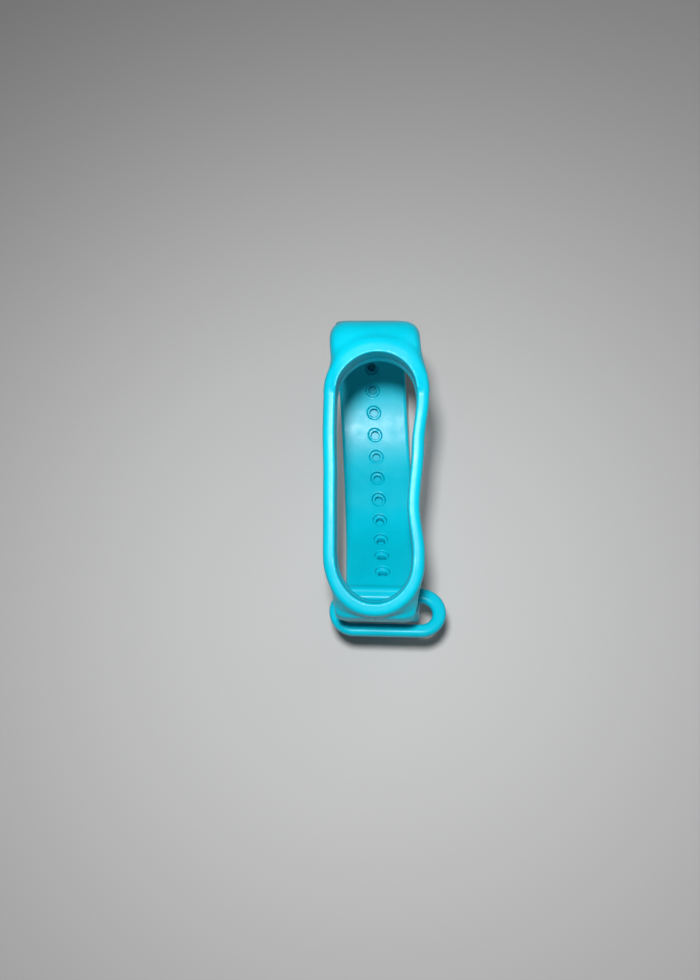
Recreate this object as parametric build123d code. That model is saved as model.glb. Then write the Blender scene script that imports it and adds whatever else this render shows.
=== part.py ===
from build123d import *
import os
from math import cos, degrees, radians, sin

# Fitness tracker wristband, closed. Millimetres. +X right, +Y from the keeper ring to the far bend, +Z up.
# The band stands on its closed loop with the tracker opening on top.
# Origin: centre of the overall box in X and Y, on the surface the band stands on.

# Strap
STRAP_WIDTH = 15.6
STRAP_THICK = 2.0
LAYER_GAP = 0.3
EDGE_ROUND = 0.7

# Inner loop curve, measured along the skin side from the contact line
FLAT_HALF = 3.0
NEAR_RADIUS = 19.55
NEAR_RISE = 36.1
FAR_RADIUS = 38.8
FAR_RISE = 34.0
BEND_RADIUS = 12.4
BEND_CUT_ANGLE = 110.0
BEND_END_ANGLE = 125.5
FAR_STRAIGHT = 4.0

# Adjusting holes
HOLE_COUNT = 13
HOLE_PITCH = 5.17
LAST_HOLE = 39.34
STUD_HOLE = 34.17
HOLE_RADIUS = 0.95
SINK_RADIUS = 1.55
SINK_DEPTH = 0.8

# Keeper ring: it lies flatter than the strap, and its lengths run from the edge line
HOLES_END = 26.0
JUNCTION_END = 28.6
RING_EDGE_Y = -25.53
RING_EDGE_Z = 16.1
RING_RISE = 13.0
RING_START = -1.1
RING_END = 9.2
RING_WIDTH = 23.7
RING_CORNER = 5.0
RING_SHIFT = 0.45
RING_THICK = 2.3
SLOT_START = 1.9
SLOT_END = 6.7
SLOT_WIDTH = 18.4
SLOT_CORNER = 2.3
RING_ROUND = 0.9

# Tail, the outer layer
TAIL_RUN = 15.14
TAIL_TURN_RADIUS = 4.0
TAIL_RISE_ANGLE = 79.0
NEAR_CUT = 8.2
TAIL_SPLIT = 24.5
NEAR_WIDTH = 16.0
FLEX_ANGLE = 37.6
TIP_ANGLE = 89.0
TIP_CORNER = 6.0

# Stud
CAP_RADIUS = 3.75
CAP_THICK = 1.0
SHANK_RADIUS = 1.2
NECK_RADIUS = 0.5
HEAD_RADIUS = 0.65
PEG_REACH = 1.5
PEG_HEAD = 0.7

# Tracker frame
OPENING_LENGTH = 46.0
OPENING_WIDTH = 14.4
WALL = 2.35
FRAME_HEIGHT = 7.0
FRAME_TILT = 15.2
FRAME_BASE_Y = -7.07
FRAME_BASE_Z = 32.75
RIM_OUTER_ROUND = 1.2
RIM_INNER_ROUND = 0.9
FOOT_ROUND = 0.5
GROOVE_DEPTH = 0.6
GROOVE_LOW = 2.2
GROOVE_HIGH = 4.8

# Lie of the strap under the frame
STRAP_YAW = 4.1
STRAP_SHIFT = -0.31

BIG = 30.0

TAIL_LIFT = STRAP_THICK + LAYER_GAP
SKIN = {
    "height": 2 * STRAP_THICK + LAYER_GAP,
    "far": [
        (FLAT_HALF, None),
        (FAR_RADIUS * radians(FAR_RISE), FAR_RADIUS),
        (BEND_RADIUS * radians(BEND_END_ANGLE - FAR_RISE), BEND_RADIUS),
        (BIG, None),
    ],
    "near": [
        (FLAT_HALF, None),
        (NEAR_RADIUS * radians(NEAR_RISE), NEAR_RADIUS),
        (BIG, None),
    ],
}
TAIL = {
    "height": STRAP_THICK,
    "far": [
        (FLAT_HALF, None),
        ((FAR_RADIUS + TAIL_LIFT) * radians(FAR_RISE), FAR_RADIUS + TAIL_LIFT),
        (BIG, BEND_RADIUS + TAIL_LIFT),
    ],
    "near": [
        (FLAT_HALF, None),
        ((NEAR_RADIUS + TAIL_LIFT) * radians(NEAR_RISE), NEAR_RADIUS + TAIL_LIFT),
        (TAIL_RUN, None),
        (TAIL_TURN_RADIUS * radians(TAIL_RISE_ANGLE - NEAR_RISE), TAIL_TURN_RADIUS),
        (BIG, None),
    ],
}
STRAP_PLACE = Location((STRAP_SHIFT, 0, 0), (0, 0, STRAP_YAW))


def trace(path, s, out=0.0):
    """Point and slope of a strap curve at length s from the contact line, moved outward by out."""
    side = 1 if s >= 0 else -1
    y, z, slope, left = 0.0, path["height"], 0.0, abs(s)
    for length, radius in path["far" if s >= 0 else "near"]:
        run = min(left, length)
        if radius:
            turned = slope + run / radius
            y += radius * (sin(turned) - sin(slope))
            z += radius * (cos(slope) - cos(turned))
            slope = turned
        else:
            y += run * cos(slope)
            z += run * sin(slope)
        left -= run
        if left <= 0:
            break
    return side * (y + out * sin(slope)), z - out * cos(slope), side * slope


def corners(path, start, end):
    """Lengths where the curve changes radius, between start and end."""
    marks = [start]
    for side, name in ((-1, "near"), (1, "far")):
        total = 0.0
        for length, _ in path[name]:
            total += length
            marks.append(side * total)
    return sorted({m for m in marks if start <= m < end} | {end})


def curve(path, start, end, out):
    """Wire that follows a strap curve from start to end."""
    edges = []
    marks = corners(path, start, end)
    for low, high in zip(marks, marks[1:]):
        points = [(0, *trace(path, s, out)[:2]) for s in (low, (low + high) / 2, high)]
        slopes = [trace(path, s, out)[2] for s in (low + 0.001, high - 0.001)]
        if abs(slopes[0] - slopes[1]) < 0.0001:
            edges.append(Line(points[0], points[2]))
        else:
            edges.append(ThreePointArc(*points))
    return Wire(edges)


def ribbon(path, start, end, inner, outer, width):
    """Rounded strip that runs along a strap curve."""
    spine = curve(path, start, end, (inner + outer) / 2)
    across = Plane(origin=spine @ 0, x_dir=(1, 0, 0), z_dir=spine % 0)
    section = across * RectangleRounded(width, outer - inner, EDGE_ROUND)
    return sweep(sections=section, path=spine)


def outward_plane(path, s, out):
    """Plane on the strap at s, facing away from the wrist."""
    y, z, slope = trace(path, s, out)
    return Plane(origin=(0, y, z), x_dir=(1, 0, 0), z_dir=(0, sin(slope), -cos(slope)))


def bend_length(path, angle):
    """Length along a strap curve where the far bend reaches an angle."""
    flat, rise, bend = path["far"][:3]
    return flat[0] + rise[0] + bend[1] * radians(angle - FAR_RISE)


def frame_plane(along=0.0, height=0.0):
    """Plane parallel to the frame's underside."""
    tilt = radians(FRAME_TILT)
    y = FRAME_BASE_Y + along * cos(tilt) - height * sin(tilt)
    z = FRAME_BASE_Z + along * sin(tilt) + height * cos(tilt)
    return Plane(origin=(0, y, z), x_dir=(1, 0, 0), z_dir=(0, -sin(tilt), cos(tilt)))


def frame_slab(grow, low, high):
    """Slot-shaped block, the opening's outline grown on all sides."""
    outline = SlotOverall(OPENING_LENGTH + 2 * grow, OPENING_WIDTH + 2 * grow, rotation=90)
    return extrude(frame_plane(0, low) * outline, high - low)


def rim_edges(body, height, inner):
    """Edges of the frame that lie at one height, on the opening or on the outside."""
    flat = frame_plane()
    limit = OPENING_WIDTH / 2 + WALL / 2
    chosen = []
    for edge in body.edges():
        local = [flat.to_local_coords(edge @ t) for t in (0.0, 0.5, 1.0)]
        reach = max(distance_off_axis(p) for p in local)
        level = all(abs(p.Z - height) < 0.01 for p in local)
        if level and (reach < limit) == inner:
            chosen.append(edge)
    return chosen


def distance_off_axis(point):
    """Distance of a point from the straight spine of the slot outline."""
    past = max(0.0, abs(point.Y) - (OPENING_LENGTH - OPENING_WIDTH) / 2)
    return (past ** 2 + point.X ** 2) ** 0.5


def capsule_frame():
    body = frame_slab(WALL, 0, FRAME_HEIGHT) - frame_slab(0, 0, FRAME_HEIGHT)
    body = fillet(rim_edges(body, FRAME_HEIGHT, False), RIM_OUTER_ROUND)
    body = fillet(rim_edges(body, FRAME_HEIGHT, True), RIM_INNER_ROUND)
    body = fillet(rim_edges(body, 0, False) + rim_edges(body, 0, True), FOOT_ROUND)
    return body - frame_slab(GROOVE_DEPTH, GROOVE_LOW, GROOVE_HIGH)


def station(x, y, z, heading, width, thick, yaw=0.0, corner=EDGE_ROUND):
    """Rounded strap section at a free point, heading in degrees up from +Y."""
    turn, up = radians(yaw), radians(heading)
    ahead = (-sin(turn) * cos(up), cos(turn) * cos(up), sin(up))
    place = Plane(origin=(x, y, z), x_dir=(cos(turn), sin(turn), 0), z_dir=ahead)
    return place * RectangleRounded(width, thick, corner)


def shoulder(sections):
    """Flare that joins a strap to one end of the frame."""
    return loft(sections) - frame_slab(WALL, -BIG, BIG)


def frame_station(along, height, heading, width, thick, corner=EDGE_ROUND):
    at = frame_plane(along, height).origin
    return station(0, at.Y, at.Z, heading, width, thick, corner=corner)


def strap_station(path, s, inner, outer, width):
    """Section that matches the end of a ribbon in the yawed strap."""
    y, z, slope = trace(path, s, (inner + outer) / 2)
    heading = degrees(slope) if s >= 0 else 180 + degrees(slope)
    yaw = radians(STRAP_YAW)
    x = STRAP_SHIFT - y * sin(yaw)
    return station(x, y * cos(yaw), z, heading, width, outer - inner, STRAP_YAW)


def far_shoulder():
    end = bend_length(SKIN, BEND_END_ANGLE) + FAR_STRAIGHT
    return shoulder([
        strap_station(SKIN, end, 0, STRAP_THICK, STRAP_WIDTH),
        station(-1.2, 21.9, 38.0, 138, 17.0, 3.0, 2.5),
        station(-0.5, 19.9, 40.4, 160, 17.7, 3.8, 1.0),
        frame_station(25.3, 2.7, 190, 18.0, 4.6),
        frame_station(17.0, 2.95, 180 + FRAME_TILT, 18.0, 5.3),
    ])


def near_shoulder():
    end = near_length() + NEAR_CUT
    return shoulder([
        strap_station(TAIL, -end, 0, STRAP_THICK, NEAR_WIDTH),
        station(1.0, -32.05, 27.2, 101, 17.2, 3.0, 2.0, 1.0),
        frame_station(-23.6, 2.8, 90 + FRAME_TILT, 18.0, 5.2, 2.2),
        frame_station(-21.2, 5.6, 90 + FRAME_TILT, 18.0, 8.4, 3.6),
    ])


def near_length():
    """Length of the tail curve to the end of its turn up through the ring."""
    return sum(length for length, _ in TAIL["near"][:4])


def adjusting_holes():
    """Stepped holes, wider on the skin side."""
    cutters = []
    for index in range(HOLE_COUNT):
        skin = outward_plane(SKIN, LAST_HOLE - index * HOLE_PITCH, 0)
        below = outward_plane(SKIN, LAST_HOLE - index * HOLE_PITCH, -1.0)
        cutters.append(extrude(below * Circle(SINK_RADIUS), SINK_DEPTH + 1.0))
        cutters.append(extrude(skin * Circle(HOLE_RADIUS), STRAP_THICK + 0.2))
    return cutters


def holed_ribbon(start, end):
    body = ribbon(SKIN, start, end, 0, STRAP_THICK, STRAP_WIDTH)
    return body - adjusting_holes()


def far_bend():
    return holed_ribbon(bend_length(SKIN, FAR_RISE), bend_length(SKIN, BEND_CUT_ANGLE))


def holes_strap():
    return holed_ribbon(-HOLES_END, bend_length(SKIN, FAR_RISE))


def far_strap():
    end = bend_length(SKIN, BEND_END_ANGLE) + FAR_STRAIGHT
    return ribbon(SKIN, bend_length(SKIN, BEND_CUT_ANGLE), end, 0, STRAP_THICK, STRAP_WIDTH)


def ring_plane():
    """Upper face of the keeper ring, facing down, with y towards the near end."""
    rise = radians(RING_RISE)
    return Plane(
        origin=(0, RING_EDGE_Y, RING_EDGE_Z), x_dir=(1, 0, 0), z_dir=(0, -sin(rise), -cos(rise))
    )


def ring_blank(width, start, end, corner):
    """Block with a rounded outline, from start to end along the ring's plane."""
    outline = Pos(RING_SHIFT, (start + end) / 2) * RectangleRounded(width, end - start, corner)
    return extrude(ring_plane() * outline, RING_THICK)


def tail_room():
    """Space that the straight run of the tail and its gap take up under the ring's far bar."""
    straight_end = near_length() - TAIL_TURN_RADIUS * radians(TAIL_RISE_ANGLE - NEAR_RISE)
    return ribbon(TAIL, -straight_end, -TAIL_SPLIT, -LAYER_GAP, 2 * STRAP_THICK, RING_WIDTH + STRAP_THICK)


def keeper_ring():
    """Loop that the tail passes down through."""
    body = ring_blank(RING_WIDTH, RING_START, RING_END, RING_CORNER)
    body -= ring_blank(SLOT_WIDTH, SLOT_START, SLOT_END, SLOT_CORNER)
    facing = ring_plane().z_dir
    rims = [e for e in body.edges() if abs((e % 0.5).dot(facing)) < 0.01]
    return fillet(rims, RING_ROUND) - tail_room()


def ring_junction():
    """Short end of the holes strap that runs into the ring's far bar."""
    stub = ribbon(SKIN, -JUNCTION_END, -HOLES_END, 0, STRAP_THICK, STRAP_WIDTH)
    return stub - keeper_ring()


def near_strap():
    return ribbon(TAIL, -near_length() - NEAR_CUT, -TAIL_SPLIT, 0, STRAP_THICK, NEAR_WIDTH)


def tail_lower():
    return ribbon(TAIL, -TAIL_SPLIT, bend_length(TAIL, FLEX_ANGLE), 0, STRAP_THICK, STRAP_WIDTH)


def stud_plane(out):
    """Plane on the stud's axis, facing away from the wrist."""
    return outward_plane(SKIN, STUD_HOLE, out)


def tail_tip():
    start = bend_length(TAIL, FLEX_ANGLE)
    end = bend_length(TAIL, TIP_ANGLE)
    body = ribbon(TAIL, start, end, 0, STRAP_THICK, STRAP_WIDTH)
    middle = (start + end) / 2 - TIP_CORNER
    outline = RectangleRounded(STRAP_WIDTH, end - start + 2 * TIP_CORNER, TIP_CORNER)
    body &= extrude(outward_plane(TAIL, middle, -BIG / 5) * outline, BIG / 2)
    return body - extrude(stud_plane(0) * Circle(SHANK_RADIUS), BIG / 3)


def turned(profile_steps, base):
    """Round body from (radius, height) steps stacked along a plane's normal."""
    body = None
    for radius, low, high in profile_steps:
        disc = extrude(base.offset(low) * Circle(radius), high - low)
        body = disc if body is None else body + disc
    return body


def stud_post():
    """Shank held in the tail, with a small headed peg that snaps into the hole."""
    gap_side = STRAP_THICK + LAYER_GAP
    tip = STRAP_THICK - PEG_REACH
    steps = [
        (HEAD_RADIUS, tip, tip + PEG_HEAD),
        (NECK_RADIUS, tip + PEG_HEAD, gap_side),
        (SHANK_RADIUS, gap_side, gap_side + STRAP_THICK),
    ]
    return turned(steps, stud_plane(0))


def stud_cap():
    top = stud_plane(TAIL_LIFT + STRAP_THICK)
    disc = extrude(top * Circle(CAP_RADIUS), CAP_THICK)
    rim = [e for e in disc.edges() if (top.to_local_coords(e @ 0)).Z > CAP_THICK / 2]
    rim = [e for e in rim if e.geom_type == GeomType.CIRCLE]
    return fillet(rim, CAP_THICK * 0.6)


STRAP_NODES = {
    "far_bend": far_bend,
    "holes_strap": holes_strap,
    "ring_junction": ring_junction,
    "keeper_ring": keeper_ring,
    "near_strap": near_strap,
    "tail_lower": tail_lower,
    "tail_tip": tail_tip,
    "stud_post": stud_post,
    "stud_cap": stud_cap,
    "far_strap": far_strap,
}
FRAME_NODES = {
    "capsule_frame": capsule_frame,
    "far_shoulder": far_shoulder,
    "near_shoulder": near_shoulder,
}

os.makedirs("parts", exist_ok=True)
shapes = {name: STRAP_PLACE * make() for name, make in STRAP_NODES.items()}
shapes.update({name: make() for name, make in FRAME_NODES.items()})
boxes = [shape.bounding_box() for shape in shapes.values()]
middle_x = (min(b.min.X for b in boxes) + max(b.max.X for b in boxes)) / 2
middle_y = (min(b.min.Y for b in boxes) + max(b.max.Y for b in boxes)) / 2
print("contact line at", round(-middle_x, 3), round(-middle_y, 3))
for name, shape in shapes.items():
    export_step(Pos(-middle_x, -middle_y, 0) * shape, f"parts/{name}.step")
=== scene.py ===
from math import atan2, cos, pi, radians, sin

import bpy
import numpy as np
from mathutils import Matrix, Vector


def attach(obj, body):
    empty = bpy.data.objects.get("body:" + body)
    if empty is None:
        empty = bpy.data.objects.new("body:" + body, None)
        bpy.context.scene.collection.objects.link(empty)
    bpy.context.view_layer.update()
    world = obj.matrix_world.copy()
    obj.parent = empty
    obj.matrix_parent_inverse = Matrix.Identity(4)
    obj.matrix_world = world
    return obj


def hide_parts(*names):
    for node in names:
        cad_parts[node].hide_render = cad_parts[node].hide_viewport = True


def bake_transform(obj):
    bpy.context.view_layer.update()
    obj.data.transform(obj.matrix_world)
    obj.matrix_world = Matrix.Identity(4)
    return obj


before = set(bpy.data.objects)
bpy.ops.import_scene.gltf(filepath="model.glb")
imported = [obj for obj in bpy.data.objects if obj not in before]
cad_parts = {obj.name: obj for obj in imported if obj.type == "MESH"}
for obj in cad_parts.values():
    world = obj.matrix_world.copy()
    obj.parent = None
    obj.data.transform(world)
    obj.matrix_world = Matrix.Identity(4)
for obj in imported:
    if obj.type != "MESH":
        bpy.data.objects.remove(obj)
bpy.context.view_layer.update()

MM = 0.001

# The band is described in millimetres from the line where it touches the table.
# y runs away from the keeper ring, z up, x across. ORIGIN moves it into the shared frame.
# Lengths along a strap start at the same line and are positive towards the far bend.
ORIGIN = np.array([-1.857, -0.153, 0.0])

# Strap, sheared sideways under the frame
STRAP_HALF = 7.8
STRAP_THICK = 2.0
LAYER_GAP = 0.3
TAIL_LIFT = STRAP_THICK + LAYER_GAP
SKIN_HEIGHT = 2 * STRAP_THICK + LAYER_GAP
STRAP_SHIFT = -0.31
STRAP_SHEAR = 0.0716
TRACE_STEP = 0.25

# Skin side of the inner layer: flat, then round, then straight
FLAT = 3.0
NEAR_R = 19.55
NEAR_RISE = radians(36.1)
NEAR_STRAIGHT = 26.5
FAR_R = 38.8
FAR_RISE = radians(34.0)
BEND_R = 12.4
BEND_END = radians(125.5)
FAR_STRAIGHT = 4.0
HOLES_END = 28.4

# Outer side of the far strap: straight up to a knuckle, then flat onto the frame
OUTER_STRAIGHT = 16.6
KNUCKLE_R = 6.0
KNUCKLE_FROM = radians(121.5)
KNUCKLE_TO = radians(190.0)
KNUCKLE_FLAT = 4.0

# Tail, the outer layer, which turns up through the ring and ends at the frame
TAIL_STRAIGHT = 15.14
TAIL_TURN_R = 4.0
TAIL_TURN_TO = radians(79.0)
TAIL_UPRIGHT = 7.0
TAIL_CURL_R = 16.0
TAIL_CURL = radians(18)
TAIL_X_AT_RING = 0.95
TAIL_X_AT_FRAME = 0.15
TIP_ANGLE = radians(89.0)
TIP_CORNER = 6.9
TIP_BLOCK = 22.0

# Adjusting holes, wider on the skin side, and the stud in one of them
HOLES = [39.34 - 5.17 * i for i in range(13)]
HOLE_R = 0.92
SINK_R = 1.55
SINK_DEPTH = 0.75
STUD_HOLE = 34.17
SHANK_HOLE_R = 1.2

# Tracker frame: u along it, h up from its underside
TILT = radians(15.2)
FRAME_BASE = (-7.07, 32.75)
SPINE = 15.8
OPENING = 7.2
WALL = 2.35
FRAME_H = 7.0
GROOVE_DEPTH = 0.2
GROOVE_AT = 3.2
GROOVE_HALF = (0.8, 1.3)
SAG = 0.25
SAG_AT = -3.0
SAG_SPREAD = 12.0
RIM_INNER_ROUND = 0.65
RIM_OUTER_ROUND = 1.3
FOOT_INNER_ROUND = 0.6
FOOT_OUTER_ROUND = 1.0
LEAN_RIGHT = [(-21, -0.5), (-14, -0.4), (-5, -1.45), (6, -0.7), (15, 0.1), (21, 0.15)]
LEAN_LEFT = [(-21, 0.45), (-13, -0.05), (0, -0.2), (9, -0.45), (18, -0.35), (22, 0.0)]

# Near shoulder, a rounded block round the frame's near end
SHOULDER_AT = (0.15, -20.3)
SHOULDER_HALF = (7.95, 5.3)
SHOULDER_CORNER = 2.3

# Keeper ring, in a plane of its own that starts at RING_EDGE
RING_EDGE = (-25.53, 16.1)
RING_RISE = radians(13.0)
RING_X = 2.3
RING_MID = 4.05
RING_HALF = (11.85, 5.15)
RING_CORNER = 5.2
RING_THICK = 2.3
RING_ROUND = 0.95
SLOT_X = 2.05
SLOT_MID = 4.3
SLOT_HALF = (9.3, 2.4)
SLOT_CORNER = 2.35

# Lattice of the meshes, and where the moulding and the tail are cut and joined
CELL = 0.295
MAIN_BOX = ((-11.5, -38.5, 2.0), (15.0, 36.5, 48.0))
TAIL_BOX = ((-11.5, -36.5, -1.2), (12.0, 37.0, 28.0))
STUB_LOW = 23.7
SPLIT_LOW = 24.0
SPLIT_AT = 25.4
STUB_Y = -28.0
TAIL_SPLIT_Y = -22.3

# Stud, with heights above the skin side of the inner layer
CAP_BASE = SKIN_HEIGHT + 0.02
CAP_R = 3.72
CAP_DISH_R = 2.9
POST_TIP = 0.5

# Camera, in millimetres from ORIGIN, with its height above the table in metres
CAMERA_X = 3.455
CAMERA_Y = -54.343
CAMERA_Z = 0.168596
CAMERA_PITCH = radians(18.353)
CAMERA_SIDE = radians(-3.581)
CAMERA_ROLL = radians(1.793)
SENSOR = 36.0
FOCAL = 750.0
PICTURE_HEIGHT = 980.0


# ---------- numbers that ease from one value to another ----------

def ease(x, low, high):
    t = np.clip((x - low) / (high - low), 0.0, 1.0)
    return t * t * (3.0 - 2.0 * t)


def smin(a, b, k):
    h = np.clip(0.5 + 0.5 * (b - a) / k, 0.0, 1.0)
    return b + (a - b) * h - k * h * (1.0 - h)


def smax(a, b, k):
    return -smin(-a, -b, k)


def box2(a, b, half_a, half_b, r):
    qa = np.abs(a) - half_a + r
    qb = np.abs(b) - half_b + r
    return np.hypot(np.maximum(qa, 0), np.maximum(qb, 0)) + np.minimum(np.maximum(qa, qb), 0) - r


# ---------- strap paths in the side plane ----------

def arc_run(height, pieces, side):
    """Rows (length, y, z, heading) every TRACE_STEP or so along straight and round stretches."""
    y, z, slope = 0.0, height, 0.0
    rows = [(0.0, y, z, slope)]
    s = 0.0
    for length, radius in pieces:
        steps = max(2, int(length / TRACE_STEP))
        y0, z0, a0, s0 = y, z, slope, s
        for i in range(1, steps + 1):
            run = length * i / steps
            if radius:
                a = a0 + run / radius
                y = y0 + radius * (sin(a) - sin(a0))
                z = z0 + radius * (cos(a0) - cos(a))
            else:
                a = a0
                y, z = y0 + run * cos(a0), z0 + run * sin(a0)
            slope, s = a, s0 + run
            rows.append((side * s, side * y, z, side * slope))
    return rows


def bezier_run(rows, end, end_heading, lead, trail):
    """Carries a path on with one cubic curve, to a point and a heading."""
    s0, y0, z0, a0 = rows[-1]
    p0 = np.array([y0, z0])
    p3 = np.array(end)
    p1 = p0 + lead * np.array([cos(a0), sin(a0)])
    p2 = p3 - trail * np.array([cos(end_heading), sin(end_heading)])
    out = []
    s, last = s0, p0
    for i in range(1, 81):
        t = i / 80
        p = (1 - t) ** 3 * p0 + 3 * (1 - t) ** 2 * t * p1 + 3 * (1 - t) * t * t * p2 + t ** 3 * p3
        d = 3 * ((1 - t) ** 2 * (p1 - p0) + 2 * (1 - t) * t * (p2 - p1) + t * t * (p3 - p2))
        s += float(np.hypot(*(p - last)))
        last = p
        out.append((s, p[0], p[1], atan2(d[1], d[0])))
    for row in out:
        a = row[3]
        while a - a0 > pi:
            a -= 2 * pi
        while a - a0 < -pi:
            a += 2 * pi
        rows.append((row[0], row[1], row[2], a))
        a0 = a
    return rows


def frame_point(u, h):
    """(y, z) at a length along the frame and a height above its underside."""
    return (FRAME_BASE[0] + u * cos(TILT) - h * sin(TILT),
            FRAME_BASE[1] + u * sin(TILT) + h * cos(TILT))


class Path:
    """Looks up, for any (y, z), the length along a strap and the height off its skin line."""

    LOW = (-42.0, -6.0)
    SPAN = (84, 60)
    STEP = 0.25
    NEARBY = 9.0

    def __init__(self, rows):
        self.s, self.y, self.z, self.a = np.array(sorted(rows)).T
        size = [int(span / self.STEP) for span in self.SPAN]
        gy = self.LOW[0] + self.STEP * np.arange(size[0])
        gz = self.LOW[1] + self.STEP * np.arange(size[1])
        py, pz = [g.ravel() for g in np.meshgrid(gy, gz, indexing="ij")]
        near = np.empty(len(py), int)
        for i in range(0, len(py), 20000):
            dy = py[i:i + 20000, None] - self.y[None]
            dz = pz[i:i + 20000, None] - self.z[None]
            near[i:i + 20000] = np.argmin(dy * dy + dz * dz, axis=1)
        c, n = np.cos(self.a[near]), np.sin(self.a[near])
        dy, dz = py - self.y[near], pz - self.z[near]
        self.along = (self.s[near] + dy * c + dz * n).reshape(size)
        self.off = (dy * n - dz * c).reshape(size)
        self.away = np.hypot(dy, dz).reshape(size)
        self.size = size

    def look(self, y, z):
        """Length and height. Far from the strap the height only grows, whatever the side."""
        fy = np.clip((y - self.LOW[0]) / self.STEP, 0, self.size[0] - 1.001)
        fz = np.clip((z - self.LOW[1]) / self.STEP, 0, self.size[1] - 1.001)
        iy, iz = fy.astype(int), fz.astype(int)
        ty, tz = fy - iy, fz - iz
        out = []
        for grid in (self.along, self.off, self.away):
            a = grid[iy, iz] * (1 - ty) + grid[iy + 1, iz] * ty
            b = grid[iy, iz + 1] * (1 - ty) + grid[iy + 1, iz + 1] * ty
            out.append(a * (1 - tz) + b * tz)
        along, off, away = out
        return along, np.where(away < self.NEARBY, off, self.NEARBY + away)

    def at(self, s, off=0.0):
        """(y, z, heading) at a length along the strap."""
        a = np.interp(s, self.s, self.a)
        y = np.interp(s, self.s, self.y)
        z = np.interp(s, self.s, self.z)
        return float(y + off * sin(a)), float(z - off * cos(a)), float(a)


def holes_path():
    far = arc_run(SKIN_HEIGHT, [
        (FLAT, None), (FAR_R * FAR_RISE, FAR_R), (BEND_R * (BEND_END - FAR_RISE), BEND_R),
        (FAR_STRAIGHT, None)], 1)
    far = bezier_run(far, frame_point(17.0, 0.2), pi + TILT, 9.0, 8.0)
    near = arc_run(SKIN_HEIGHT, [(FLAT, None), (NEAR_R * NEAR_RISE, NEAR_R), (NEAR_STRAIGHT, None)], -1)
    return Path(far + near[1:]), far[-1][0]


def tail_path():
    far_r, near_r, bend_r = FAR_R + TAIL_LIFT, NEAR_R + TAIL_LIFT, BEND_R + TAIL_LIFT
    far = arc_run(STRAP_THICK, [
        (FLAT, None), (far_r * FAR_RISE, far_r), (bend_r * (TIP_ANGLE - FAR_RISE), bend_r)], 1)
    near = arc_run(STRAP_THICK, [
        (FLAT, None), (near_r * NEAR_RISE, near_r), (TAIL_STRAIGHT, None),
        (TAIL_TURN_R * (TAIL_TURN_TO - NEAR_RISE), TAIL_TURN_R),
        (TAIL_UPRIGHT, None), (TAIL_CURL_R * TAIL_CURL, TAIL_CURL_R)], -1)
    return Path(far + near[1:]), far[-1][0], near[-1][0]


def outer_path():
    """Outer line of the far strap: up the bend, straight on to a knuckle, then flat onto the frame."""
    far_r, bend_r = FAR_R + STRAP_THICK, BEND_R + STRAP_THICK
    return Path(arc_run(TAIL_LIFT, [
        (FLAT, None), (far_r * FAR_RISE, far_r), (bend_r * (KNUCKLE_FROM - FAR_RISE), bend_r),
        (OUTER_STRAIGHT, None), (KNUCKLE_R * (KNUCKLE_TO - KNUCKLE_FROM), KNUCKLE_R),
        (KNUCKLE_FLAT, None)], 1))


SKIN, SKIN_END = holes_path()
TAIL, TAIL_TIP, TAIL_TOP = tail_path()
OUTER = outer_path()


# ---------- the silicone as distance fields ----------

def frame_coords(p):
    y, z = p[:, 1] - FRAME_BASE[0], p[:, 2] - FRAME_BASE[1]
    return y * cos(TILT) + z * sin(TILT), -y * sin(TILT) + z * cos(TILT)


def through(x, points):
    """Smooth line through a few (place, value) points."""
    out = np.full(np.shape(x), float(points[0][1]))
    for (x0, v0), (x1, v1) in zip(points, points[1:]):
        out = out + (v1 - v0) * ease(x, x0, x1)
    return out


def frame_lean(u):
    """Sideways wander of the right and left walls, as soft silicone lies."""
    return through(u, LEAN_RIGHT), through(u, LEAN_LEFT)


def frame_field(p):
    """Frame wall, with the distance off the opening's spine, the height and the length along it."""
    u, h = frame_coords(p)
    right, left = frame_lean(u)
    share = ease(p[:, 0], -9.0, 9.0)
    x = p[:, 0] - (left + (right - left) * share)
    past = np.maximum(np.abs(u) - SPINE, 0)
    off = np.hypot(past, x) - OPENING
    h = h + SAG * np.exp(-((u - SAG_AT) / SAG_SPREAD) ** 2)
    inner = smax(smax(-off, h - FRAME_H, RIM_INNER_ROUND), -h, FOOT_INNER_ROUND)
    outer = smax(smax(off - WALL, h - FRAME_H, RIM_OUTER_ROUND), -h, FOOT_OUTER_ROUND)
    return smax(inner, outer, 0.05), off, h, u


def strap_centre(path, s):
    """Sideways place of a strap's middle line, before it meets the frame or the ring."""
    return STRAP_SHIFT - STRAP_SHEAR * np.interp(s, path.s, path.y)


def holes_strap_field(p):
    """Inner layer with the adjusting holes. Its edges thin and round off more towards the frame."""
    s, w = SKIN.look(p[:, 1], p[:, 2])
    at_frame = ease(s, 35.0, 58.0)
    onto_frame = ease(s, SKIN_END - 8.0, SKIN_END - 2.0)
    x = p[:, 0] - strap_centre(SKIN, s) * (1 - 0.6 * at_frame) * (1 - onto_frame)
    half = STRAP_HALF + 0.75 * ease(s, 52, 60)
    _, beyond = OUTER.look(p[:, 1], p[:, 2])
    edge = np.clip((np.abs(x) - half + 3.2) / 3.2, 0, 1) ** 2
    drop = 0.5 * ease(s, 40, 48) + 1.0 * ease(s, 49, 54) - 0.6 * ease(s, 58, 64)
    outer = np.where(s > 40.0, w - beyond, STRAP_THICK) - edge * drop
    round_off = np.clip(outer / 2 - 0.05, 0.2, 0.72 + 0.5 * at_frame)
    body = box2(x, w - outer / 2, half, outer / 2, round_off)
    end = np.maximum(s - SKIN_END, -HOLES_END - s)
    body = smax(body, end, 0.5)
    for hole in HOLES:
        r = np.hypot(s - hole, x)
        shaft = smin(r - HOLE_R, smax(r - SINK_R, w - SINK_DEPTH, 0.12), 0.12)
        body = smax(body, -shaft, 0.22)
    return body


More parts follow.
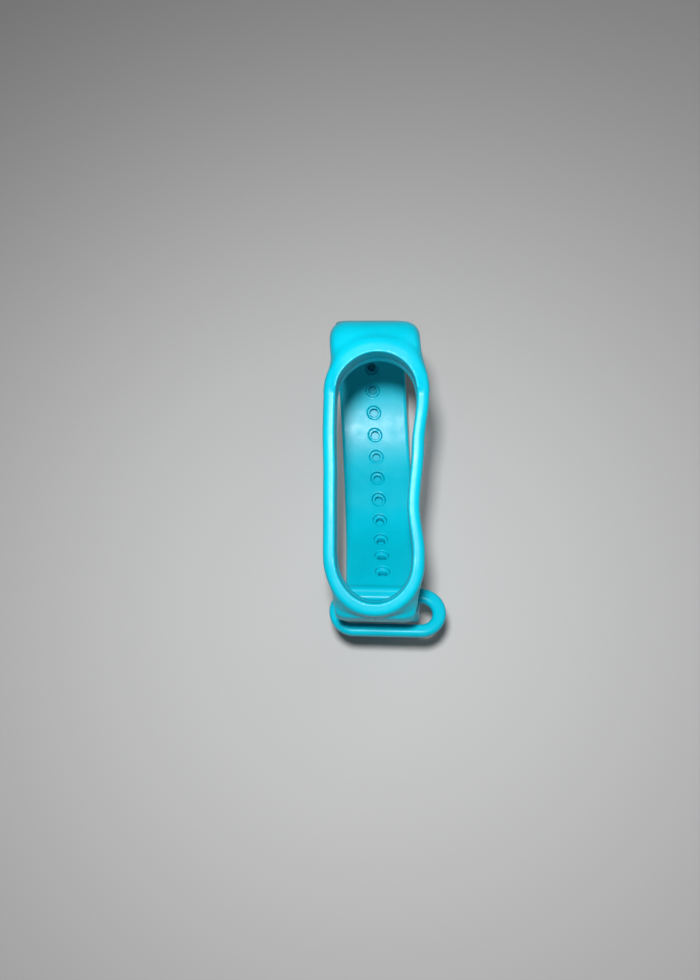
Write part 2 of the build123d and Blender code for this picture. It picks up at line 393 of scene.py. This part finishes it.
def ring_field(p):
    """Keeper ring, a rounded loop that lies flatter than the strap it grows from."""
    dy, dz = p[:, 1] - RING_EDGE[0], p[:, 2] - RING_EDGE[1]
    q = -dy * cos(RING_RISE) + dz * sin(RING_RISE)
    w = -dy * sin(RING_RISE) - dz * cos(RING_RISE)
    x = p[:, 0] - RING_X
    outline = box2(x, q - RING_MID, *RING_HALF, RING_CORNER)
    slot = box2(p[:, 0] - SLOT_X, q - SLOT_MID, *SLOT_HALF, SLOT_CORNER)
    flat = smax(outline, -slot, 0.2) + RING_ROUND
    thick = np.abs(w - RING_THICK / 2) - RING_THICK / 2 + RING_ROUND
    beyond = np.hypot(np.maximum(flat, 0), np.maximum(thick, 0))
    return beyond + np.minimum(np.maximum(flat, thick), 0) - RING_ROUND


def tail_centre(s):
    """Sideways place of the tail's middle line, through the ring and up to the frame."""
    at_ring = ease(-s, 24, 34)
    at_frame = ease(-s, 35, 42)
    upright = TAIL_X_AT_RING * (1 - at_frame) + TAIL_X_AT_FRAME * at_frame
    return strap_centre(TAIL, s) * (1 - at_ring) + upright * at_ring


def tail_field(p):
    """Outer layer with its rounded tip and the stud's hole, and the near strap up to the frame."""
    s, w = TAIL.look(p[:, 1], p[:, 2])
    x = p[:, 0] - tail_centre(s)
    half = STRAP_HALF - 0.25 * ease(-s, 38, 44)
    edge = np.clip((np.abs(x) - half + 2.6) / 2.6, 0, 1) ** 2
    thick = STRAP_THICK - 0.6 * edge * ease(-s, 36, 42)
    body = box2(x, w - thick / 2, half, thick / 2, 0.68)
    corner = box2(x, s - (TAIL_TIP - TIP_BLOCK), half + 0.9, TIP_BLOCK, TIP_CORNER)
    body = np.where(s > 20, smax(body, corner, 0.9), body)
    body = smax(body, TAIL_TOP - s, 0.5)
    r = np.hypot(s - STUD_TAIL, x)
    return smax(body, SHANK_HOLE_R - r, 0.15)


def shoulder_block(u, h, x, fall):
    """Near shoulder: fills the corners round the frame's end and falls away from the rim."""
    plan = box2(x - SHOULDER_AT[0], u - SHOULDER_AT[1], *SHOULDER_HALF, SHOULDER_CORNER)
    return smax(smax(plan, fall, 2.0), 0.2 - h, 1.6)


def silicone(p, kind):
    """Distance field: "main" holds the frame, holes strap and ring, "tail" the near strap and tail."""
    wall, off, h, u = frame_field(p)
    tail = tail_field(p)
    high = np.maximum(tail, np.maximum(SPLIT_LOW - p[:, 2], p[:, 1] + 20.0))
    fall = (h - 6.1 + 0.9 * np.maximum(off - 1.9, 0.0)) * 0.8
    strip = smax(high if kind == "main" else tail, fall, 1.2)
    near = smin(shoulder_block(u, h, p[:, 0], fall), strip, 0.9)
    body = smin(wall, near, 1.5)
    if kind == "main":
        body = smin(body, holes_strap_field(p), 2.0)
    bore = np.maximum(off, np.abs(h - 3.5) - 6.0)
    body = smax(body, -bore, 0.3)
    groove = box2(off + GROOVE_HALF[0] - GROOVE_DEPTH, h - GROOVE_AT, *GROOVE_HALF, 0.35)
    body = smax(body, -groove, 0.5)
    if kind == "tail":
        return body
    keeper = smin(body, ring_field(p), 0.9)
    cleared = smax(keeper, 0.25 - tail, 0.2)
    low_part = np.where(p[:, 1] < -20.0, cleared, keeper)
    return np.where(p[:, 2] < 19.5, low_part, body)


def stud_on_tail():
    """Length along the tail at the stud, straight out from its adjusting hole."""
    y, z, _ = SKIN.at(STUD_HOLE, TAIL_LIFT)
    s, _ = TAIL.look(np.array([y]), np.array([z]))
    return float(s[0])


STUD_TAIL = stud_on_tail()


# ---------- meshing a distance field on a regular lattice ----------

CORNERS = [(a, b, c) for a in (0, 1) for b in (0, 1) for c in (0, 1)]


def lattice_values(field, low, size):
    """Field values at every lattice node near the surface, far values elsewhere."""
    step = 4
    chunk = 200000
    coarse = [np.arange(0, n + step, step) for n in size]
    grids = np.meshgrid(*coarse, indexing="ij")
    points = np.stack([g.ravel() for g in grids], 1) * CELL + low
    far = field(points).reshape(grids[0].shape)
    reach = CELL * step * 1.9
    values = np.full([n + 1 for n in size], 9.0, np.float32)
    mask = np.zeros(values.shape, bool)
    half = step // 2
    for place in np.argwhere(np.abs(far) < reach) * step:
        mask[tuple(slice(max(0, k - half), k + half + 1) for k in place)] = True
    index = np.argwhere(mask)
    inside = np.repeat(np.repeat(np.repeat(far, step, 0), step, 1), step, 2) < 0
    values[inside[:values.shape[0], :values.shape[1], :values.shape[2]]] = -9.0
    found = np.empty(len(index), np.float32)
    for i in range(0, len(index), chunk):
        found[i:i + chunk] = field(index[i:i + chunk] * CELL + low)
    values[tuple(index.T)] = found
    return values


def crossed_cells(inside):
    """Lattice cells that the surface passes through."""
    n = inside.shape
    count = np.zeros([m - 1 for m in n], np.int8)
    for a, b, c in CORNERS:
        count += inside[a:n[0] - 1 + a, b:n[1] - 1 + b, c:n[2] - 1 + c]
    return np.argwhere((count > 0) & (count < 8))


def cell_points(values, cells):
    """Mean place of the surface's crossings with each cell's edges, in cells."""
    total = np.zeros((len(cells), 3))
    hits = np.zeros(len(cells))
    for a in CORNERS:
        for axis in range(3):
            if a[axis]:
                continue
            b = list(a)
            b[axis] = 1
            va = values[tuple((cells + a).T)].astype(float)
            vb = values[tuple((cells + b).T)].astype(float)
            crossing = (va < 0) != (vb < 0)
            t = np.where(crossing, va / np.where(crossing, va - vb, 1.0), 0.0)
            place = np.array(a, float)[None].repeat(len(cells), 0)
            place[:, axis] += t
            total[crossing] += place[crossing]
            hits += crossing
    return cells + total / hits[:, None]


def axis_quads(inside, ids, axis):
    """Quads round the lattice edges along one axis that cross the surface, and those edges."""
    n = inside.shape
    low, high = [slice(None)] * 3, [slice(None)] * 3
    low[axis], high[axis] = slice(None, -1), slice(1, None)
    edges = np.argwhere(inside[tuple(low)] != inside[tuple(high)])
    b, c = [k for k in range(3) if k != axis]
    ok = (edges[:, b] > 0) & (edges[:, c] > 0) & (edges[:, b] < n[b] - 1) & (edges[:, c] < n[c] - 1)
    edges = edges[ok]
    around = []
    for db, dc in ((-1, -1), (0, -1), (0, 0), (-1, 0)):
        cell = edges.copy()
        cell[:, b] += db
        cell[:, c] += dc
        around.append(ids[tuple(cell.T)])
    quad = np.stack(around, 1)
    leaves = inside[tuple(edges.T)]
    keep = leaves if axis != 1 else ~leaves
    quad[~keep] = quad[~keep][:, ::-1]
    return quad, edges


def surface_net(values, low):
    """Points and quads of the zero surface, the lattice place of each quad's edge, and the cells."""
    inside = values < 0
    cells = crossed_cells(inside)
    ids = np.full([m - 1 for m in values.shape], -1, np.int64)
    ids[tuple(cells.T)] = np.arange(len(cells))
    points = cell_points(values, cells) * CELL + low
    found = [axis_quads(inside, ids, axis) for axis in range(3)]
    quads = np.concatenate([quad for quad, _ in found])
    places = np.concatenate([edges for _, edges in found])
    return points, quads, places, cells


def slope_of(field, points):
    """Field value, unit gradient and the gradient's size."""
    e = 0.02
    corners = np.array([(1, -1, -1), (-1, -1, 1), (-1, 1, -1), (1, 1, 1)], float)
    values = [field(points + e * c) for c in corners]
    grad = sum(v[:, None] * c[None] for v, c in zip(values, corners)) / (4 * e)
    size = np.linalg.norm(grad, axis=1, keepdims=True)
    return sum(values) / 4, grad / np.maximum(size, 1e-6), size[:, 0]


def onto_surface(field, points):
    """Points pulled onto the zero level, and the normals that they were pulled along."""
    value, normal, size = slope_of(field, points)
    step = np.clip(value / np.maximum(size, 0.3), -0.2, 0.2)
    return points - normal * step[:, None], normal


def settle(field, points, quads, rounds=3):
    """Evens the mesh out along the surface and pulls it onto the zero level."""
    pairs = np.concatenate([quads[:, [i, (i + 1) % 4]] for i in range(4)])
    pairs = np.concatenate([pairs, pairs[:, ::-1]])
    degree = np.bincount(pairs[:, 0], minlength=len(points)).astype(float)
    for _ in range(rounds):
        mean = np.stack([np.bincount(pairs[:, 0], points[pairs[:, 1], k], len(points)) for k in range(3)], 1)
        mean /= np.maximum(degree, 1)[:, None]
        normal = slope_of(field, points)[1]
        shift = mean - points
        shift -= normal * np.sum(shift * normal, 1, keepdims=True)
        points, _ = onto_surface(field, points + 0.5 * shift)
    return onto_surface(field, points)


def skin_of(kind, low, high):
    """Settled mesh of one kind of silicone in a box, with the lattice places of quads and points."""
    def field(p):
        return silicone(p, kind)

    low_node = np.floor(np.array(low) / CELL).astype(int)
    size = np.ceil(np.array(high) / CELL).astype(int) - low_node
    start = low_node * CELL
    values = lattice_values(field, start, size)
    points, quads, places, cells = surface_net(values, start)
    points, normals = settle(field, points, quads)
    return points, normals, quads, places + low_node, cells + low_node


def build_object(name, points, normals, quads):
    """Smooth mesh object in the shared frame, in metres, from the points that the quads use."""
    used = np.unique(quads)
    remap = np.full(len(points), -1)
    remap[used] = np.arange(len(used))
    place = (points[used] + ORIGIN) * MM
    mesh = bpy.data.meshes.new(name)
    faces = remap[quads]
    mesh.vertices.add(len(place))
    mesh.vertices.foreach_set("co", place.astype(np.float32).ravel())
    mesh.loops.add(faces.size)
    mesh.loops.foreach_set("vertex_index", faces.ravel().astype(np.int32))
    mesh.polygons.add(len(faces))
    mesh.polygons.foreach_set("loop_start", (np.arange(len(faces)) * 4).astype(np.int32))
    mesh.polygons.foreach_set("use_smooth", np.ones(len(faces), bool))
    mesh.update(calc_edges=True)
    mesh.validate()
    mesh.normals_split_custom_set_from_vertices(normals[used].tolist())
    item = bpy.data.objects.new(name, mesh)
    bpy.context.collection.objects.link(item)
    return item


def cell_key(cells):
    """One whole number for each lattice cell."""
    span, shift = 2000, 500
    a, b, c = (cells + shift).T
    return (a * span + b) * span + c


def silicone_objects():
    """The moulding in two pieces that meet vertex to vertex under the holes strap."""
    mp, mn, mq, mplace, mcells = skin_of("main", *MAIN_BOX)
    tp, tn, tq, tplace, tcells = skin_of("tail", *TAIL_BOX)
    cut_k, low_k = int(round(SPLIT_AT / CELL)), int(round(STUB_LOW / CELL))
    stub_j, split_j = int(round(STUB_Y / CELL)), int(round(TAIL_SPLIT_Y / CELL))
    mq = mq[~((mplace[:, 2] < cut_k) & (mplace[:, 2] > low_k) & (mplace[:, 1] < stub_j))]
    below, rear = tplace[:, 2] < cut_k, tplace[:, 1] < split_j
    near_q, tail_q = tq[below & rear], tq[below & ~rear]
    # the near strap joins the main piece where both nets share lattice cells
    main_used = np.zeros(len(mp), bool)
    main_used[np.unique(mq)] = True
    main_at = {k: i for i, k in enumerate(cell_key(mcells))}
    tail_keys = cell_key(tcells)
    target = np.full(len(tp), -1)
    extra = []
    for i in np.unique(near_q):
        twin = main_at.get(tail_keys[i], -1)
        close = twin >= 0 and main_used[twin] and tcells[i][2] >= cut_k - 2
        if close and np.linalg.norm(mp[twin] - tp[i]) < 0.1:
            target[i] = twin
        else:
            target[i] = len(mp) + len(extra)
            extra.append(i)
    points = np.concatenate([mp, tp[extra]])
    normals = np.concatenate([mn, tn[extra]])
    quads = np.concatenate([mq, target[near_q]])
    return build_object("band_moulding", points, normals, quads), build_object("band_tail", tp, tn, tail_q)


# ---------- metal stud ----------

def lathe(name, profile, place, segments=96):
    """Turned piece: (radius, height) rows spun about the axis of a 4x4 place matrix, in millimetres."""
    verts, faces, rows = [], [], []
    for radius, height in profile:
        if radius < 1e-6:
            rows.append([len(verts)])
            verts.append((0.0, 0.0, height))
        else:
            rows.append(list(range(len(verts), len(verts) + segments)))
            for i in range(segments):
                t = 2 * pi * i / segments
                verts.append((radius * cos(t), radius * sin(t), height))
    for a, b in zip(rows, rows[1:]):
        for i in range(segments):
            j = (i + 1) % segments
            if len(a) == 1:
                faces.append((a[0], b[j], b[i]))
            elif len(b) == 1:
                faces.append((a[i], a[j], b[0]))
            else:
                faces.append((a[i], a[j], b[j], b[i]))
    mesh = bpy.data.meshes.new(name)
    mesh.from_pydata(verts, [], faces)
    mesh.transform(place)
    mesh.transform(Matrix.Scale(MM, 4))
    mesh.update()
    for p in mesh.polygons:
        p.use_smooth = True
    item = bpy.data.objects.new(name, mesh)
    bpy.context.collection.objects.link(item)
    return item


def stud_place():
    y, z, a = SKIN.at(STUD_HOLE)
    x = STRAP_SHIFT - STRAP_SHEAR * y
    out = Vector((0.0, sin(a), -cos(a)))
    side = Vector((1, 0, 0))
    up = out.cross(side)
    turn = Matrix((side, up, out)).transposed().to_4x4()
    move = Matrix.Translation((x + ORIGIN[0], y + ORIGIN[1], z))
    return move @ turn


def arc_rows(r0, h0, r1, h1, bulge_r, bulge_h, steps=6):
    """Quarter-round rows from one (radius, height) to another about a corner."""
    rows = []
    for i in range(steps + 1):
        t = pi / 2 * i / steps
        rows.append((bulge_r + (r0 - bulge_r) * cos(t) + (r1 - bulge_r) * sin(t),
                     bulge_h + (h0 - bulge_h) * cos(t) + (h1 - bulge_h) * sin(t)))
    return rows


def cap_profile(base):
    """Domed rim round a shallow dish."""
    rows = [(0.0, base), (1.3, base), (3.35, base + 0.05)]
    rows += arc_rows(3.35, base + 0.05, 3.7, base + 0.35, 3.35, base + 0.35)
    rows += [(CAP_R, base + 0.55)]
    rows += arc_rows(CAP_R, base + 0.6, 3.3, base + 0.98, 3.3, base + 0.6)
    rows += [(3.05, base + 0.99), (2.98, base + 0.93), (CAP_DISH_R, base + 0.9)]
    for i in range(1, 11):
        inward = 1 - i / 10
        rows.append((CAP_DISH_R * inward, base + 0.9 + 0.06 * (1 - inward ** 2)))
    return rows


def post_profile(base):
    """Snap head, neck and shank."""
    rows = [(0.0, POST_TIP)]
    rows += arc_rows(0.02, POST_TIP, 0.62, POST_TIP + 0.4, 0.02, POST_TIP + 0.4)
    rows += [(0.62, POST_TIP + 0.62), (0.56, POST_TIP + 0.76), (0.47, POST_TIP + 0.9)]
    rows += [(0.47, TAIL_LIFT - 0.35), (0.52, TAIL_LIFT - 0.12), (0.9, TAIL_LIFT + 0.02)]
    rows += [(1.12, TAIL_LIFT + 0.06), (1.17, TAIL_LIFT + 0.14), (1.17, base - 0.02), (0.0, base - 0.02)]
    return rows


def stud_objects():
    place = stud_place()
    cap = lathe("stud_cap_metal", cap_profile(CAP_BASE), place)
    return cap, lathe("stud_post_metal", post_profile(CAP_BASE), place)


# ---------- materials ----------

def new_material(name):
    """Material with its node tree, its shader and the object's own coordinates."""
    mat = bpy.data.materials.new(name)
    mat.use_nodes = True
    tree = mat.node_tree
    coords = tree.nodes.new("ShaderNodeTexCoord").outputs["Object"]
    return mat, tree, tree.nodes["Principled BSDF"], coords


def node(tree, kind, **inputs):
    """Node with some inputs set. An underscore in a name stands for a space."""
    made = tree.nodes.new(kind)
    for name, value in inputs.items():
        made.inputs[name.replace("_", " ")].default_value = value
    return made


def texture(tree, coords, kind, output, **inputs):
    """Output of a procedural texture laid on some coordinates."""
    made = node(tree, kind, **inputs)
    tree.links.new(coords, made.inputs["Vector"])
    return made.outputs[output]


def ramp(tree, factor, low, low_color, high, high_color):
    """Colour that runs from one shade to another as a factor goes from low to high."""
    made = tree.nodes.new("ShaderNodeValToRGB")
    stops = made.color_ramp.elements
    stops[0].position = low
    stops[0].color = (*low_color, 1)
    stops[1].position = high
    stops[1].color = (*high_color, 1)
    tree.links.new(factor, made.inputs["Fac"])
    return made.outputs["Color"]


def spread(tree, value, low, high, to_low, to_high):
    """Value mapped from one range onto another, and held at its ends."""
    made = node(tree, "ShaderNodeMapRange", From_Min=low, From_Max=high, To_Min=to_low, To_Max=to_high)
    tree.links.new(value, made.inputs["Value"])
    return made.outputs["Result"]


def bump(tree, height, strength, distance):
    made = node(tree, "ShaderNodeBump", Strength=strength, Distance=distance)
    tree.links.new(height, made.inputs["Height"])
    return made


def dusted(tree, coords, color):
    """Colour with sparse patches of fine pale specks on it."""
    specks = texture(tree, coords, "ShaderNodeTexVoronoi", "Distance", Scale=1500.0)
    dust = ramp(tree, specks, 0.045, (1, 1, 1), 0.075, (0, 0, 0))
    mask = texture(tree, coords, "ShaderNodeTexNoise", "Fac", Scale=260.0, Detail=2.0)
    amount = tree.nodes.new("ShaderNodeMath")
    amount.operation = "MULTIPLY"
    tree.links.new(dust, amount.inputs[0])
    tree.links.new(spread(tree, mask, 0.55, 0.72, 0.0, 0.16), amount.inputs[1])
    mix = tree.nodes.new("ShaderNodeMix")
    mix.data_type = "RGBA"
    mix.inputs["B"].default_value = (0.45, 0.75, 0.8, 1)
    tree.links.new(amount.outputs["Value"], mix.inputs["Factor"])
    tree.links.new(color, mix.inputs["A"])
    return mix.outputs["Result"]


def silicone_material():
    """Satin cyan silicone with slow swells, a fine grain, uneven gloss and a little dust."""
    mat, tree, shader, coords = new_material("cyan_silicone")
    link = tree.links.new
    cloud = texture(tree, coords, "ShaderNodeTexNoise", "Fac", Scale=90.0, Detail=3.0, Roughness=0.55)
    tint = ramp(tree, cloud, 0.32, (0.0, 0.44, 0.58), 0.7, (0.0, 0.5, 0.65))
    link(dusted(tree, coords, tint), shader.inputs["Base Color"])
    wear = texture(tree, coords, "ShaderNodeTexNoise", "Fac", Scale=320.0, Detail=4.0, Roughness=0.6)
    link(spread(tree, wear, 0.3, 0.7, 0.27, 0.38), shader.inputs["Roughness"])
    swell = texture(tree, coords, "ShaderNodeTexNoise", "Fac", Scale=240.0, Detail=2.0, Roughness=0.5)
    grain = texture(tree, coords, "ShaderNodeTexNoise", "Fac", Scale=5200.0, Detail=2.0, Roughness=0.5)
    fine = bump(tree, grain, 0.3, 0.00004)
    link(bump(tree, swell, 0.12, 0.0002).outputs["Normal"], fine.inputs["Normal"])
    link(fine.outputs["Normal"], shader.inputs["Normal"])
    shader.inputs["IOR"].default_value = 1.42
    shader.inputs["Specular IOR Level"].default_value = 0.24
    shader.inputs["Subsurface Weight"].default_value = 0.12
    shader.inputs["Subsurface Radius"].default_value = (0.2, 0.9, 1.0)
    shader.inputs["Subsurface Scale"].default_value = 0.0012
    return mat


def metal_material():
    """Satin metal, brushed along the band's width."""
    mat, tree, shader, coords = new_material("satin_metal")
    link = tree.links.new
    lay = tree.nodes.new("ShaderNodeMapping")
    lay.inputs["Scale"].default_value = (60.0, 4200.0, 4200.0)
    link(coords, lay.inputs["Vector"])
    lines = texture(tree, lay.outputs["Vector"], "ShaderNodeTexNoise", "Fac",
                    Scale=1.0, Detail=3.0, Roughness=0.6)
    link(ramp(tree, lines, 0.35, (0.52, 0.53, 0.55), 0.68, (0.74, 0.75, 0.77)), shader.inputs["Base Color"])
    link(spread(tree, lines, 0.3, 0.7, 0.24, 0.4), shader.inputs["Roughness"])
    link(bump(tree, lines, 0.12, 0.00003).outputs["Normal"], shader.inputs["Normal"])
    shader.inputs["Metallic"].default_value = 1.0
    return mat


def floor_material():
    """Plain pale grey, the same all over."""
    mat, _, shader, _ = new_material("pale_floor")
    shader.inputs["Base Color"].default_value = (0.5, 0.5, 0.5, 1)
    shader.inputs["Roughness"].default_value = 0.7
    return mat


# ---------- stage ----------

def make_floor():
    """Square floor, a hair below the band so that the two never share a plane."""
    mesh = bpy.data.meshes.new("floor")
    r = 3.0
    mesh.from_pydata([(-r, -r, 0), (r, -r, 0), (r, r, 0), (-r, r, 0)], [], [(0, 1, 2, 3)])
    item = bpy.data.objects.new("floor", mesh)
    item.location.z = -0.00005
    bpy.context.collection.objects.link(item)
    mesh.materials.append(floor_material())


def area_light(name, place, aim, size, power):
    data = bpy.data.lights.new(name, "AREA")
    data.shape = "DISK"
    data.size = size
    data.energy = power
    item = bpy.data.objects.new(name, data)
    item.location = place
    item.rotation_euler = (Vector(aim) - Vector(place)).to_track_quat("-Z", "Y").to_euler()
    bpy.context.collection.objects.link(item)


def make_lights():
    """Small lamp beside the camera, a wide weak one behind the band, and a dim even sky."""
    world = bpy.data.worlds.new("studio")
    bpy.context.scene.world = world
    world.use_nodes = True
    sky = world.node_tree.nodes["Background"]
    sky.inputs["Color"].default_value = (1, 1, 1, 1)
    sky.inputs["Strength"].default_value = 0.1
    middle = (0, 0, 0.02)
    area_light("key", place=(-0.007, -0.031, 0.2), aim=middle, size=0.022, power=0.4)
    area_light("fill", place=(0.3, 0.25, 0.4), aim=middle, size=0.4, power=0.2)


def make_camera():
    """Stands above the near end and looks down and slightly away."""
    slant = (sin(CAMERA_SIDE) / cos(CAMERA_SIDE), sin(CAMERA_PITCH) / cos(CAMERA_PITCH), -1.0)
    ahead = Vector(slant).normalized()
    up = (Vector((0, 1, 0)) - ahead * ahead.y).normalized()
    right = ahead.cross(up)
    c, s = cos(CAMERA_ROLL), sin(CAMERA_ROLL)
    right, up = c * right + s * up, -s * right + c * up
    turn = Matrix((right, up, -ahead)).transposed().to_4x4()
    data = bpy.data.cameras.new("camera")
    data.sensor_width = SENSOR
    data.lens = SENSOR * FOCAL / PICTURE_HEIGHT
    data.clip_start = 0.005
    item = bpy.data.objects.new("camera", data)
    place = ((ORIGIN[0] + CAMERA_X) * MM, (ORIGIN[1] + CAMERA_Y) * MM, CAMERA_Z)
    item.matrix_world = Matrix.Translation(place) @ turn
    bpy.context.collection.objects.link(item)
    bpy.context.scene.camera = item


main, tail = silicone_objects()
cap, post = stud_objects()
cyan = silicone_material()
metal = metal_material()
for item in (main, tail):
    item.data.materials.append(cyan)
for item in (cap, post):
    item.data.materials.append(metal)
    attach(item, "clasp_tip")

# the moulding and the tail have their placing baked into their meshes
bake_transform(main)
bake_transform(tail)

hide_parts("capsule_frame", "far_shoulder", "far_strap", "near_shoulder", "far_bend", "holes_strap",
            "ring_junction", "keeper_ring", "near_strap")
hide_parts("tail_lower", "tail_tip")
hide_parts("stud_cap")
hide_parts("stud_post")

make_floor()
make_lights()
make_camera()
bpy.context.scene.view_settings.view_transform = "Standard"
